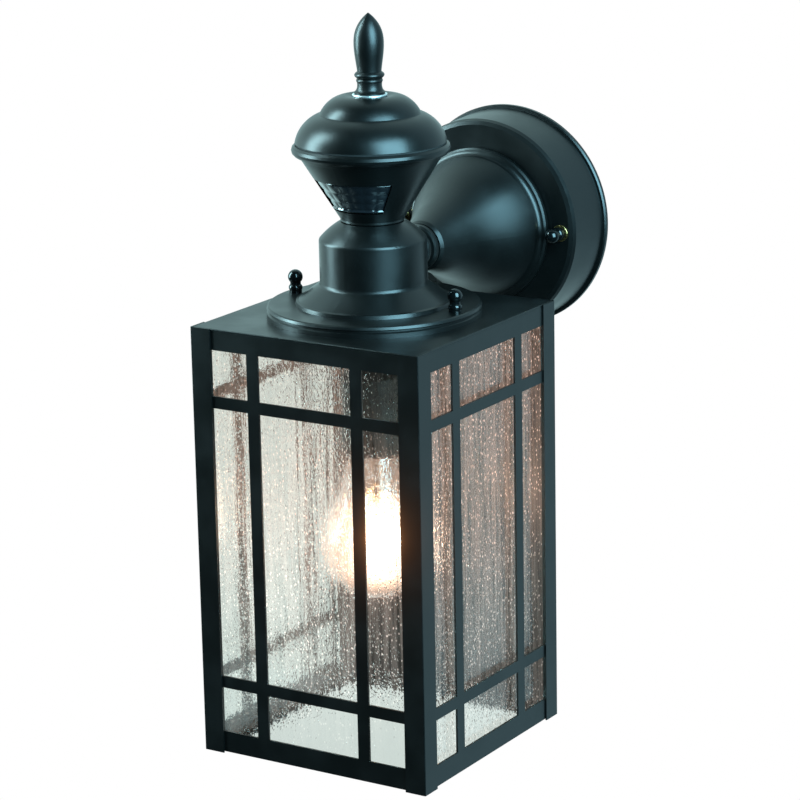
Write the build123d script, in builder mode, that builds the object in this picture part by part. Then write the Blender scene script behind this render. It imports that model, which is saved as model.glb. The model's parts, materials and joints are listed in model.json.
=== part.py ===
"""Outdoor wall lantern with a motion-sensing head, a lattice cage and seeded glass.

Frame: +Z up, +Y into the wall, origin on the wall plane at the axis of the horizontal arm.
The cage, neck and sensor head share one vertical axis, which stands `reach` in front of the wall.
Heights named h are measured from the top of the cage, and depths named d from the wall.
"""
from build123d import *
from math import cos, radians, sin, sqrt
import os

os.makedirs("parts", exist_ok=True)

# ---------------------------------------------------------------- driving dimensions, mm
wall_gap = 75.0  # wall to the back of the cage
arm_height = 27.2  # arm axis above the top of the cage

cage_width = 140.0
cage_height = 235.5
post_width = 12.2
post_sheet = 0.8
post_overhang = 0.8  # posts reach this far below the lattice panels
lattice_sheet = 1.2
top_rail = 11.3
bottom_rail = 11.6
bar_width = 7.1  # upright bars of the lattice
bar_height = 6.5  # level bars of the lattice
bar_offset = 31.9  # upright bar centres from the middle of a side
corner_pane_height = 25.0
top_sheet = 1.2
top_hole_radius = 34.0  # the lamp passes through here when the cage comes down
glass_thickness = 3.0
glass_setback = 2.4  # face of the glass behind the lattice
clip_sheet = 0.5  # spring clips that hold the glass under the top plate
clip_width = 9.0
clip_height = 9.0
clip_offset = 42.0
fit_gap = 0.1  # flat pieces that lie against each other
slot_gap = 0.3  # glass to glass at the corners

stud_radius = 2.085
stud_hole_clearance = 0.4
thread_clearance = 0.045
stud_head_radius = 4.0
stud_head_height = 1.4
cage_stud_offset = 50.0
canopy_stud_offset = 50.8
stud_grip = 7.0  # thread that a ball nut takes up
seat_gap = 0.05

nut_base_radius = 3.4
nut_collar_radius = 3.75
nut_neck_radius = 2.9
nut_ball_radius = 4.0
nut_ball_height = 8.4

neck_sheet = 1.2
flange_radius = 57.1
flange_height = 6.3
flange_step_radius = 41.8
neck_root_round = 2.5
neck_shoulder_round = 2.0
flare_radius = 40.3
flare_height = 8.8
neck_radius = 28.6
neck_bottom = 17.2
neck_shoulder = 40.8
neck_top = 50.3
neck_top_radius = 17.2

pipe_radius = 4.8  # hollow threaded pipe of the arm, lamp and head
pipe_bore = 3.6
pipe_hole_clearance = 0.15
locknut_flats = 14.2
locknut_height = 3.0

pan_radius = 62.4
pan_depth = 34.0
pan_rim_width = 3.6
pan_side_radius = 60.4
pan_front_radius = 59.0
pan_sheet = 1.2
bell_radius = 43.5
bell_end = 97.5
bell_end_radius = 13.6
bell_wall = 2.0
collar_radius = 12.4
collar_tube_radius = 9.4

strap_length = 114.0
strap_height = 19.0
strap_sheet = 2.0
box_slot_offset = 44.45
box_slot_length = 6.4
box_slot_width = 4.6
wire_hole_radius = 6.5
washer_sheet = 0.8
washer_radius = 4.6

head_bottom = 50.5
head_foot_radius = 16.9
head_cone_top = 84.0
head_cone_radius = 36.9
head_wall = 2.0
rim_radius = 41.8
rim_bottom = 86.3
rim_top = 91.6
gasket_height = 1.0
lens_bottom = 57.8
lens_top = 73.8
lens_half_width = 23.9  # at its upper edge, seen from the front
lens_foot_half_width = 15.0
lens_sheet = 1.1
lens_recess = 1.0
window_clearance = 0.4

cap_sheet = 1.2
cap_skirt_radius = 39.9
cap_crease_radius = 26.5
cap_crease = 107.5
cap_top = 116.4
cap_top_radius = 9.6
finial_washer_radius = 9.2
finial_washer_height = 1.2
finial_height = 42.2
rod_foot = 60.5

dial_radius = 4.0
dial_place = (-6.5, 0)  # on the back of the head, square to its cone
switch_place = (6.5, 0)
control_height = 70.0
control_board_depth = 10.0
switch_width = 3.0
switch_travel = 2.0
running_clearance = 0.05

contact_height = -47.0  # tip of the bulb's cap
lampholder_top = -22.0
lampholder_rim = -75.0
lampholder_radius = 18.5
shell_radius = 13.4
shell_sheet = 0.5
bulb_radius = 30.0
bulb_length = 110.5
bulb_cap_radius = 13.05
bulb_cap_length = 26.5
bulb_wall = 0.6
light_centre = 79.0
bulb_seat_gap = 0.3

# ---------------------------------------------------------------- places worked out from them
cage_top = -arm_height
half = cage_width / 2
reach = wall_gap + half  # wall to the vertical axis of cage and head
lattice_outer = half - post_sheet
lattice_inner = lattice_outer - lattice_sheet
glass_outer = lattice_inner - glass_setback
glass_inner = glass_outer - glass_thickness
lattice_foot = -cage_height + post_overhang
glass_foot = lattice_foot + lattice_sheet + seat_gap
glass_head = -top_sheet - clip_sheet - 2 * seat_gap
opening_top = -top_rail
opening_foot = lattice_foot + bottom_rail
finial_foot = cap_top + finial_washer_height
stud_hole_radius = stud_radius + stud_hole_clearance
thread_radius = stud_radius + thread_clearance
pipe_hole_radius = pipe_radius + pipe_hole_clearance
cap_foot = rim_top + gasket_height
nut_height = nut_ball_height + nut_ball_radius

upright_axis = Axis((0, -reach, 0), (0, 0, 1))
arm_axis = Axis((0, 0, 0), (0, -1, 0))
arm_section = Plane(origin=(0, 0, 0), x_dir=(1, 0, 0), z_dir=(0, 0, -1))


def level(h):
    """Level plane at height h on the vertical axis, facing up."""
    return Plane(origin=(0, -reach, cage_top + h))


def section(angle=0.0):
    """Upright half plane through the vertical axis, with points (radius, h).

    The angle is counted from the front of the lantern towards its right side.
    """
    turn = radians(angle)
    out = Vector(sin(turn), -cos(turn), 0)
    return Plane(origin=(0, -reach, cage_top), x_dir=out, z_dir=out.cross(Vector(0, 0, 1)))


def upright(angle, distance, h=0.0):
    """Upright plane on one side of the cage, facing out, with points (along, up)."""
    turn = radians(angle)
    out = Vector(sin(turn), -cos(turn), 0)
    foot = Vector(0, -reach, cage_top + h) + out * distance
    return Plane(origin=foot, x_dir=(cos(turn), sin(turn), 0), z_dir=out)


def outline(plane, *points):
    """Face with straight sides through the points."""
    with BuildSketch(plane) as drawing:
        with BuildLine():
            Polyline(*points, close=True)
        make_face()
    return drawing.sketch


def curved(plane, *runs):
    """Face whose outline is the runs in order: 2 points are a line, more are a smooth curve."""
    with BuildSketch(plane) as drawing:
        with BuildLine():
            for run in runs:
                if len(run) == 2:
                    Line(*run)
                else:
                    Spline(*run)
        make_face()
    return drawing.sketch


def disc(plane, radius, *centres):
    """Round faces at the centres, or one at the plane's origin."""
    with BuildSketch(plane) as drawing:
        with Locations(*(centres or [(0, 0)])):
            Circle(radius)
    return drawing.sketch


def hexagon(plane, flats):
    """Hexagon of that size across its flats."""
    with BuildSketch(plane) as drawing:
        RegularPolygon(radius=flats / 2, side_count=6, major_radius=False)
    return drawing.sketch


def slab(plane, width, height, *centres):
    """Rectangles at the centres, or one at the plane's origin."""
    with BuildSketch(plane) as drawing:
        with Locations(*(centres or [(0, 0)])):
            Rectangle(width, height)
    return drawing.sketch


def tube(plane, outer, inner, length):
    """Straight pipe that grows from the plane."""
    with BuildPart() as pipe:
        extrude(disc(plane, outer), amount=length)
        extrude(disc(plane, inner), amount=length, mode=Mode.SUBTRACT)
    return pipe.part


def locknut(plane, bore=pipe_radius):
    """Hexagon nut that grows from the plane."""
    with BuildPart() as nut:
        extrude(hexagon(plane, locknut_flats), amount=locknut_height)
        chamfer(nut.edges().group_by(Axis(plane.origin, plane.z_dir))[-1], 0.6)
        extrude(disc(plane, bore), amount=locknut_height, mode=Mode.SUBTRACT)
    return nut.part


def ball_nut(plane):
    """Knurl-free nut with a ball head: base, collar bead, neck and ball, threaded from below."""
    profile = Plane(origin=plane.origin, x_dir=plane.x_dir, z_dir=-plane.y_dir)
    neck_height = nut_ball_height - sqrt(nut_ball_radius**2 - nut_neck_radius**2)
    with BuildPart() as nut:
        with BuildSketch(profile):
            with BuildLine():
                Line((0, 0), (nut_base_radius, 0))
                Line((nut_base_radius, 0), (nut_base_radius, 1.4))
                ThreePointArc((nut_base_radius, 1.4), (nut_collar_radius, 2.6), (nut_base_radius, 3.8))
                Line((nut_base_radius, 3.8), (nut_neck_radius, 4.3))
                Line((nut_neck_radius, 4.3), (nut_neck_radius, neck_height))
                ThreePointArc(
                    (nut_neck_radius, neck_height),
                    (nut_ball_radius, nut_ball_height),
                    (0, nut_height),
                )
                Line((0, nut_height), (0, 0))
            make_face()
        revolve(axis=Axis(plane.origin, plane.z_dir))
        extrude(disc(plane, thread_radius), amount=stud_grip + 1, mode=Mode.SUBTRACT)
    return nut.part


def save(name, part):
    """Write one sub-part to its own file."""
    part.label = name
    export_step(part, f"parts/{name}.step")


# ---------------------------------------------------------------- wall plate and arm
with BuildPart() as wall_pan:
    rim_step = pan_rim_width + 0.9
    revolve(
        outline(
            arm_section,
            (0, 0),
            (pan_radius - 0.6, 0),
            (pan_radius, 0.8),
            (pan_radius, pan_rim_width - 0.8),
            (pan_radius - 0.7, pan_rim_width),
            (pan_side_radius, rim_step - 0.6),
            (pan_side_radius, rim_step),
            (pan_front_radius, pan_depth - 3.0),
            (pan_front_radius - 0.9, pan_depth - 0.9),
            (pan_front_radius - 3.0, pan_depth),
            (0, pan_depth),
        ),
        axis=arm_axis,
    )
    revolve(
        outline(
            arm_section,
            (0, 0),
            (pan_side_radius - pan_sheet, 0),
            (pan_side_radius - pan_sheet, rim_step),
            (pan_front_radius - pan_sheet, pan_depth - 3.0),
            (pan_front_radius - 3.0, pan_depth - pan_sheet),
            (0, pan_depth - pan_sheet),
        ),
        axis=arm_axis,
        mode=Mode.SUBTRACT,
    )
    pan_face = Plane(origin=(0, -pan_depth, 0), x_dir=(1, 0, 0), z_dir=(0, 1, 0))
    extrude(disc(pan_face, pipe_hole_radius), amount=pan_sheet, mode=Mode.SUBTRACT)
    stud_places = [(-canopy_stud_offset, 0), (canopy_stud_offset, 0)]
    extrude(disc(pan_face, stud_hole_radius, *stud_places), amount=pan_sheet, mode=Mode.SUBTRACT)
save("wall_pan", wall_pan.part)

with BuildPart() as bell_arm:
    body_foot = (39.4, pan_depth + 7.4)
    body_end = (bell_end_radius, bell_end - 2.0)
    bell_middle = [(35.2, pan_depth + 16.0), (26.6, pan_depth + 31.0), (19.2, pan_depth + 46.5)]
    inner_foot = (body_foot[0] - bell_wall, body_foot[1])
    inner_end = (body_end[0] - bell_wall, bell_end - bell_wall)
    inner_middle = [(r - bell_wall, d - 0.8) for r, d in bell_middle]
    revolve(
        curved(
            arm_section,
            [(inner_foot[0], pan_depth), (bell_radius - 0.8, pan_depth)],
            [(bell_radius - 0.8, pan_depth), (bell_radius, pan_depth + 0.8)],
            [(bell_radius, pan_depth + 0.8), (bell_radius, pan_depth + 2.8)],
            [(bell_radius, pan_depth + 2.8), (bell_radius - 1.0, pan_depth + 3.6)],
            [(bell_radius - 1.0, pan_depth + 3.6), (40.6, pan_depth + 4.6), body_foot],
            [body_foot, *bell_middle, body_end],
            [body_end, (bell_end_radius - 1.2, bell_end)],
            [(bell_end_radius - 1.2, bell_end), (pipe_hole_radius, bell_end)],
            [(pipe_hole_radius, bell_end), (pipe_hole_radius, bell_end - bell_wall)],
            [(pipe_hole_radius, bell_end - bell_wall), inner_end],
            [inner_end, *reversed(inner_middle), inner_foot],
            [inner_foot, (inner_foot[0], pan_depth)],
        ),
        axis=arm_axis,
    )
save("bell_arm", bell_arm.part)

with BuildPart() as arm_collar:
    revolve(
        outline(
            arm_section,
            (pipe_hole_radius, bell_end),
            (collar_radius - 1.4, bell_end),
            (collar_radius - 0.3, bell_end + 0.7),
            (collar_radius, bell_end + 2.0),
            (collar_radius - 0.3, bell_end + 3.3),
            (collar_radius - 1.4, bell_end + 4.0),
            (collar_tube_radius, bell_end + 4.4),
            (collar_tube_radius, bell_end + 5.6),
            (collar_tube_radius + 1.2, bell_end + 6.4),
            (collar_tube_radius + 1.2, bell_end + 8.2),
            (collar_tube_radius, bell_end + 9.0),
            (collar_tube_radius, reach - neck_radius - 2.0),
            (collar_tube_radius + 0.4, reach - neck_radius),
            (collar_tube_radius + 0.4, reach - neck_radius / 2),
            (pipe_hole_radius, reach - neck_radius / 2),
        ),
        axis=arm_axis,
    )
    extrude(disc(level(0), neck_radius), amount=neck_top, mode=Mode.SUBTRACT)
save("arm_collar", arm_collar.part)

nipple_start = pan_depth - 9.0
nipple_end = reach - neck_radius + 6.0
with BuildPart() as arm_nipple:
    add(tube(Plane(origin=(0, -nipple_start, 0), z_dir=(0, -1, 0)), pipe_radius, pipe_bore,
             nipple_end - nipple_start))
save("arm_nipple", arm_nipple.part)

with BuildPart() as arm_locknuts:
    inside_pan = Plane(origin=(0, -(pan_depth - pan_sheet), 0), x_dir=(1, 0, 0), z_dir=(0, 1, 0))
    flat_in_neck = sqrt((neck_radius - neck_sheet) ** 2 - (locknut_flats * 0.58) ** 2)
    inside_neck = Plane(origin=(0, -(reach - flat_in_neck), 0), x_dir=(1, 0, 0), z_dir=(0, -1, 0))
    add(locknut(inside_pan))
    add(locknut(inside_neck))
save("arm_locknuts", arm_locknuts.part)

with BuildPart() as mounting_strap:
    wall_plane = Plane(origin=(0, 0, 0), x_dir=(1, 0, 0), z_dir=(0, -1, 0))
    with BuildSketch(wall_plane):
        RectangleRounded(strap_length, strap_height, 4.0)
        with Locations((-box_slot_offset, 0), (box_slot_offset, 0)):
            SlotOverall(box_slot_length, box_slot_width, mode=Mode.SUBTRACT)
        with Locations((-canopy_stud_offset, 0), (canopy_stud_offset, 0)):
            Circle(stud_radius + 0.02, mode=Mode.SUBTRACT)
        Circle(wire_hole_radius, mode=Mode.SUBTRACT)
        with Locations((-22, 0)):
            Circle(2.4, mode=Mode.SUBTRACT)
    extrude(amount=strap_sheet)
save("mounting_strap", mounting_strap.part)

with BuildPart() as canopy_studs:
    stud_length = pan_depth + washer_sheet + stud_grip
    extrude(disc(wall_plane, stud_radius, *stud_places), amount=stud_length)
    chamfer(canopy_studs.edges().group_by(Axis.Y)[0], 0.5)
save("canopy_studs", canopy_studs.part)

with BuildPart() as ground_screw:
    strap_front = Plane(origin=(-22, -strap_sheet, 0), x_dir=(1, 0, 0), z_dir=(0, -1, 0))
    extrude(hexagon(strap_front, 8.0), amount=2.6)
    chamfer(ground_screw.edges().group_by(Axis.Y)[0], 0.5)
    extrude(slab(strap_front.offset(1.4), 10.0, 1.2), amount=1.2, mode=Mode.SUBTRACT)
    extrude(disc(strap_front, 2.38), amount=-strap_sheet)
save("ground_screw", ground_screw.part)

with BuildPart() as wall_nut_washers:
    pan_front = Plane(origin=(0, -pan_depth, 0), x_dir=(1, 0, 0), z_dir=(0, -1, 0))
    extrude(disc(pan_front, washer_radius, *stud_places), amount=washer_sheet)
    extrude(disc(pan_front, stud_hole_radius, *stud_places), amount=washer_sheet, mode=Mode.SUBTRACT)
    fillet(wall_nut_washers.edges().group_by(Axis.Y)[0].sort_by(SortBy.RADIUS)[-2:], 0.3)
save("wall_nut_washers", wall_nut_washers.part)

for side, offset_x in (("left", -canopy_stud_offset), ("right", canopy_stud_offset)):
    seat_depth = pan_depth + washer_sheet + seat_gap
    with BuildPart() as wall_ball_nut:
        add(ball_nut(Plane(origin=(offset_x, -seat_depth, 0), x_dir=(1, 0, 0), z_dir=(0, -1, 0))))
    save(f"wall_ball_nut_{side}", wall_ball_nut.part)

# ---------------------------------------------------------------- neck
with BuildPart() as neck_body:
    shoulder_middle = (23.6, neck_shoulder + 5.0)
    with BuildSketch(section()) as neck_profile:
        with BuildLine():
            Polyline(
                (0, neck_top),
                (0, 0),
                (flange_radius, 0),
                (flange_radius, 2.4),
                (flange_radius - 0.9, 3.1),
                (flange_radius - 0.9, 3.8),
                (flange_radius, 4.5),
                (flange_radius - 0.5, flange_height - 0.5),
                (flange_radius - 1.3, flange_height),
                (flange_step_radius, flange_height),
                (flange_step_radius - 0.4, flare_height - 0.5),
                (flare_radius - 0.3, flare_height),
                (neck_radius, neck_bottom),
                (neck_radius, neck_shoulder),
            )
            ThreePointArc((neck_radius, neck_shoulder), shoulder_middle, (neck_top_radius, neck_top))
            Line((neck_top_radius, neck_top), (0, neck_top))
        make_face()
        for corner_height, round_radius in ((neck_bottom, neck_root_round), (neck_shoulder, neck_shoulder_round)):
            corner = neck_profile.vertices().sort_by_distance((neck_radius, corner_height, 0))[0]
            fillet(corner, round_radius)
    revolve(axis=upright_axis)
    inner_top = neck_top - neck_sheet
    with BuildSketch(section()):
        with BuildLine():
            Polyline(
                (0, inner_top),
                (0, 0),
                (flange_radius - neck_sheet - 0.9, 0),
                (flange_radius - neck_sheet - 0.9, flange_height - neck_sheet),
                (flange_step_radius - neck_sheet, flange_height - neck_sheet),
                (flare_radius - neck_sheet, flare_height - neck_sheet),
                (neck_radius - neck_sheet, neck_bottom - 0.7),
                (neck_radius - neck_sheet, neck_shoulder - 0.5),
            )
            ThreePointArc(
                (neck_radius - neck_sheet, neck_shoulder - 0.5),
                (shoulder_middle[0] - 0.9, shoulder_middle[1] - 0.9),
                (neck_top_radius - 0.5, inner_top),
            )
            Line((neck_top_radius - 0.5, inner_top), (0, inner_top))
        make_face()
    revolve(axis=upright_axis, mode=Mode.SUBTRACT)
    extrude(disc(level(inner_top), pipe_hole_radius), amount=neck_sheet, mode=Mode.SUBTRACT)
    cage_stud_places = [(-cage_stud_offset, 0), (cage_stud_offset, 0)]
    extrude(disc(level(0), stud_hole_radius, *cage_stud_places), amount=flange_height, mode=Mode.SUBTRACT)
    back_of_neck = Plane(origin=(0, -reach, 0), x_dir=(1, 0, 0), z_dir=(0, 1, 0))
    extrude(disc(back_of_neck, pipe_hole_radius), amount=neck_radius, mode=Mode.SUBTRACT)
save("neck_body", neck_body.part)

for side, offset_x in (("left", -cage_stud_offset), ("right", cage_stud_offset)):
    nut_seat = Plane(origin=(offset_x, -reach, cage_top + flange_height + seat_gap))
    with BuildPart() as cage_ball_nut:
        add(ball_nut(nut_seat))
    save(f"cage_ball_nut_{side}", cage_ball_nut.part)

# ---------------------------------------------------------------- lamp
plate_height = neck_bottom - 0.3
with BuildPart() as lampholder_plate:
    extrude(disc(level(plate_height), neck_radius - neck_sheet - seat_gap), amount=1.6)
    extrude(disc(level(plate_height), pipe_hole_radius), amount=1.6, mode=Mode.SUBTRACT)
    wire_holes = [(-16, 0), (16, 0), (0, -16)]
    extrude(disc(level(plate_height), wire_hole_radius, *wire_holes), amount=1.6, mode=Mode.SUBTRACT)
save("lampholder_plate", lampholder_plate.part)

stem_foot = lampholder_top - 3.0
with BuildPart() as lampholder_nipple:
    add(tube(level(stem_foot), pipe_radius, pipe_bore, plate_height + 1.6 + 4.5 - stem_foot))
save("lampholder_nipple", lampholder_nipple.part)

with BuildPart() as lampholder_locknuts:
    add(locknut(level(plate_height - locknut_height)))
    add(locknut(level(plate_height + 1.6)))
save("lampholder_locknuts", lampholder_locknuts.part)

with BuildPart() as lampholder_body:
    shell_outer = shell_radius + shell_sheet
    shell_roof = contact_height + 3.6
    revolve(
        outline(
            section(),
            (pipe_radius + seat_gap, lampholder_top),
            (11.0, lampholder_top),
            (12.5, lampholder_top - 1.5),
            (12.5, lampholder_top - 6.0),
            (lampholder_radius - 1.5, lampholder_top - 10.5),
            (lampholder_radius - 1.5, lampholder_top - 34.0),
            (lampholder_radius, lampholder_top - 36.0),
            (lampholder_radius, lampholder_rim + 1.0),
            (lampholder_radius - 1.0, lampholder_rim),
            (shell_outer + 1.6, lampholder_rim),
            (shell_outer + seat_gap, lampholder_rim + 1.6),
            (shell_outer + seat_gap, shell_roof),
            (0, shell_roof),
            (0, stem_foot - 0.5),
            (pipe_radius + seat_gap, stem_foot - 0.5),
        ),
        axis=upright_axis,
    )
save("lampholder_body", lampholder_body.part)

with BuildPart() as screw_shell:
    shell_foot = lampholder_rim + 1.8
    add(tube(level(shell_foot), shell_outer, shell_radius, shell_roof - 1.0 - shell_foot))
    shell_lip = level(shell_roof - 1.0 - shell_sheet)
    extrude(disc(shell_lip, shell_outer), amount=shell_sheet)
    extrude(disc(shell_lip, 7.0), amount=shell_sheet, mode=Mode.SUBTRACT)
save("screw_shell", screw_shell.part)

with BuildPart() as centre_contact:
    contact_face = contact_height + bulb_seat_gap
    extrude(disc(level(contact_face), 3.2), amount=1.0)
    extrude(disc(level(contact_face + 1.0), 2.0), amount=shell_roof - contact_face - 1.0)
    fillet(centre_contact.edges().group_by(Axis.Z)[0], 0.4)
save("centre_contact", centre_contact.part)

cap_foot_of_bulb = contact_height - bulb_cap_length
bulb_tip = contact_height - bulb_length
equator = bulb_tip + bulb_radius
with BuildPart() as bulb_cap:
    revolve(
        outline(
            section(),
            (0, contact_height),
            (3.4, contact_height),
            (4.6, contact_height - 1.6),
            (9.5, contact_height - 3.0),
            (bulb_cap_radius, contact_height - 5.5),
            (bulb_cap_radius, cap_foot_of_bulb + 1.5),
            (bulb_cap_radius - 0.3, cap_foot_of_bulb),
            (bulb_cap_radius - 1.0, cap_foot_of_bulb),
            (bulb_cap_radius - 1.0, contact_height - 7.0),
            (0, contact_height - 7.0),
        ),
        axis=upright_axis,
    )
save("bulb_cap", bulb_cap.part)

with BuildPart() as bulb_glass:
    throat = bulb_cap_radius - 1.1
    glass_root = cap_foot_of_bulb + 8.0
    inside = bulb_radius - bulb_wall
    outer_side = [(throat, cap_foot_of_bulb + 1.0), (15.2, cap_foot_of_bulb - 9.0),
                  (24.6, equator + 19.0), (bulb_radius, equator)]
    inner_side = [(r - bulb_wall, h) for r, h in outer_side]
    with BuildSketch(section()):
        with BuildLine():
            Line((throat - bulb_wall, glass_root), (throat, glass_root))
            Line((throat, glass_root), outer_side[0])
            Spline(*outer_side, tangents=[(0, -1), (0, -1)])
            CenterArc((0, equator), bulb_radius, 0, -90)
            Line((0, bulb_tip), (0, bulb_tip + bulb_wall))
            CenterArc((0, equator), inside, 0, -90)
            Spline(*inner_side, tangents=[(0, -1), (0, -1)])
            Line(inner_side[0], (throat - bulb_wall, glass_root))
        make_face()
    revolve(axis=upright_axis)
save("bulb_glass", bulb_glass.part)

filament_height = contact_height - light_centre
with BuildPart() as bulb_stem:
    stem_root = cap_foot_of_bulb + 1.0
    revolve(
        outline(
            section(),
            (0, stem_root),
            (throat - bulb_wall - fit_gap, stem_root),
            (throat - bulb_wall - fit_gap, stem_root - 0.8),
            (6.5, stem_root - 4.5),
            (4.2, stem_root - 14.0),
            (3.8, stem_root - 26.0),
            (1.4, stem_root - 29.0),
            (1.4, filament_height + 9.0),
            (0, filament_height + 8.4),
        ),
        axis=upright_axis,
    )
save("bulb_stem", bulb_stem.part)

with BuildPart() as filament:
    lead_radius = 0.35
    lead_top = stem_root - 25.0
    lead_spread = 11.0
    for hand in (-1, 1):
        lead_root = Vector(hand * (4.2 + lead_radius), -reach, cage_top + lead_top)
        lead_end = Vector(hand * lead_spread, -reach, cage_top + filament_height)
        with BuildSketch(Plane(origin=lead_root, z_dir=lead_end - lead_root)):
            Circle(lead_radius)
        extrude(amount=(lead_end - lead_root).length)
    coil_start = Plane(origin=(-lead_spread - 0.6, -reach, cage_top + filament_height), z_dir=(1, 0, 0))
    extrude(disc(coil_start, 0.6), amount=2 * (lead_spread + 0.6))
save("filament", filament.part)

# ---------------------------------------------------------------- sensor head
foot_height = head_bottom + 1.5
slope = (head_cone_radius - head_foot_radius) / (head_cone_top - foot_height)


def cone_radius(h):
    """Outer radius of the head's cone at height h."""
    return head_foot_radius + slope * (h - foot_height)


def on_cone(angle, h, lift=0.0):
    """Plane square to the head's cone at that height, lifted off its surface, facing out."""
    turn = radians(angle)
    out = Vector(sin(turn), -cos(turn), 0)
    square = (out - Vector(0, 0, slope)).normalized()
    foot = Vector(0, -reach, cage_top + h) + out * cone_radius(h) + square * lift
    return Plane(origin=foot, x_dir=(cos(turn), sin(turn), 0), z_dir=square)


def lens_shape(inner, outer, gap):
    """Solid seen as a trapezium from the front, between two distances off the cone's surface."""
    foot = lens_bottom - gap
    top = lens_top + gap
    spread = (lens_half_width - lens_foot_half_width) / (lens_top - lens_bottom)
    foot_half = lens_foot_half_width + gap - spread * gap
    top_half = lens_half_width + gap + spread * gap
    with BuildPart() as shape:
        revolve(
            outline(
                section(-90),
                (cone_radius(foot) + inner, foot),
                (cone_radius(foot) + outer, foot),
                (cone_radius(top) + outer, top),
                (cone_radius(top) + inner, top),
            ),
            axis=upright_axis,
            revolution_arc=180,
        )
        trapezium = outline(
            upright(0, 0), (-foot_half, foot), (foot_half, foot), (top_half, top), (-top_half, top)
        )
        extrude(trapezium, amount=rim_radius, mode=Mode.INTERSECT)
    return shape.part


with BuildPart() as sensor_housing:
    revolve(
        outline(
            section(),
            (0, head_bottom),
            (head_foot_radius - 0.4, head_bottom),
            (head_foot_radius, head_bottom + 0.5),
            (head_foot_radius, foot_height),
            (head_cone_radius, head_cone_top),
            (head_cone_radius + 1.2, rim_bottom - 0.6),
            (rim_radius - 1.4, rim_bottom),
            (rim_radius - 0.3, rim_bottom + 1.2),
            (rim_radius, rim_bottom + 2.6),
            (rim_radius - 0.4, rim_top - 1.2),
            (rim_radius - 1.6, rim_top),
            (0, rim_top),
        ),
        axis=upright_axis,
    )
    inner_foot_radius = head_foot_radius - head_wall
    revolve(
        outline(
            section(),
            (0, head_bottom + head_wall),
            (inner_foot_radius, head_bottom + head_wall),
            (inner_foot_radius, foot_height + 1.0),
            (head_cone_radius - head_wall, head_cone_top + 1.0),
            (head_cone_radius - head_wall, rim_top),
            (0, rim_top),
        ),
        axis=upright_axis,
        mode=Mode.SUBTRACT,
    )
    behind = on_cone(180, control_height, 2.0)
    extrude(disc(behind, dial_radius + running_clearance, dial_place), amount=-6.5, mode=Mode.SUBTRACT)
    slot_width = switch_width + 2 * switch_travel + 0.8
    extrude(slab(behind, slot_width, 3.4, switch_place), amount=-6.5, mode=Mode.SUBTRACT)
    add(lens_shape(-6.0, 4.0, window_clearance), mode=Mode.SUBTRACT)
    extrude(disc(level(head_bottom), pipe_hole_radius), amount=head_wall, mode=Mode.SUBTRACT)
save("sensor_housing", sensor_housing.part)


with BuildPart() as sensor_lens:
    add(lens_shape(-lens_recess - lens_sheet, -lens_recess, 0))
save("sensor_lens", sensor_lens.part)

with BuildPart() as cap_gasket:
    add(tube(level(rim_top), cap_skirt_radius - 0.5, head_cone_radius, gasket_height))
save("cap_gasket", cap_gasket.part)

with BuildPart() as sensor_cap:
    crown = [(cap_top_radius, cap_top), (18.6, cap_top - 0.8), (24.0, cap_top - 5.0),
             (cap_crease_radius, cap_crease)]
    skirt = [(cap_crease_radius + 0.3, cap_crease - 0.3), (32.9, cap_crease - 3.5),
             (36.8, cap_crease - 7.6), (cap_skirt_radius, cap_foot)]
    inner_crown = [(r - 0.6 * cap_sheet, h - cap_sheet) for r, h in crown]
    inner_skirt = [(r - cap_sheet, h - 0.9 * cap_sheet) for r, h in skirt[:-1]]
    inner_skirt.append((cap_skirt_radius - cap_sheet, cap_foot))
    cap_hole = stud_radius + 0.5
    revolve(
        curved(
            section(),
            [(cap_hole, cap_top), crown[0]],
            crown,
            [crown[-1], skirt[0]],
            skirt,
            [skirt[-1], inner_skirt[-1]],
            list(reversed(inner_skirt)),
            [inner_skirt[0], inner_crown[-1]],
            list(reversed(inner_crown)),
            [inner_crown[0], (cap_hole, cap_top - cap_sheet)],
            [(cap_hole, cap_top - cap_sheet), (cap_hole, cap_top)],
        ),
        axis=upright_axis,
    )
save("sensor_cap", sensor_cap.part)

with BuildPart() as finial_washer:
    add(tube(level(cap_top), finial_washer_radius, cap_hole, finial_washer_height))
    fillet(finial_washer.edges().filter_by(GeomType.CIRCLE).sort_by(SortBy.RADIUS)[-2:], 0.4)
save("finial_washer", finial_washer.part)

with BuildPart() as finial:
    base = finial_foot + seat_gap
    revolve(
        curved(
            section(),
            [(0, base), (8.1, base)],
            [(8.1, base), (8.2, base + 1.0)],
            [(8.2, base + 1.0), (6.9, base + 2.4), (6.5, base + 4.2), (6.6, base + 6.0)],
            [(6.6, base + 6.0), (7.0, base + 6.9), (6.6, base + 7.8)],
            [(6.6, base + 7.8), (6.9, base + 8.4)],
            [(6.9, base + 8.4), (7.9, base + 9.8), (6.9, base + 11.2)],
            [(6.9, base + 11.2), (6.35, base + 11.6)],
            [(6.35, base + 11.6), (7.2, base + 18.0), (7.9, base + 25.6), (7.0, base + 32.8),
             (4.1, base + 38.2), (0, base + finial_height)],
            [(0, base + finial_height), (0, base)],
        ),
        axis=upright_axis,
    )
    extrude(disc(level(base), thread_radius), amount=stud_grip + 1, mode=Mode.SUBTRACT)
save("finial", finial.part)

with BuildPart() as head_tube:
    add(tube(level(neck_top - 9.0), pipe_radius, pipe_bore, 17.5))
save("head_tube", head_tube.part)

with BuildPart() as head_locknuts:
    add(locknut(level(inner_top - locknut_height)))
    add(locknut(level(head_bottom + head_wall)))
save("head_locknuts", head_locknuts.part)

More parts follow.
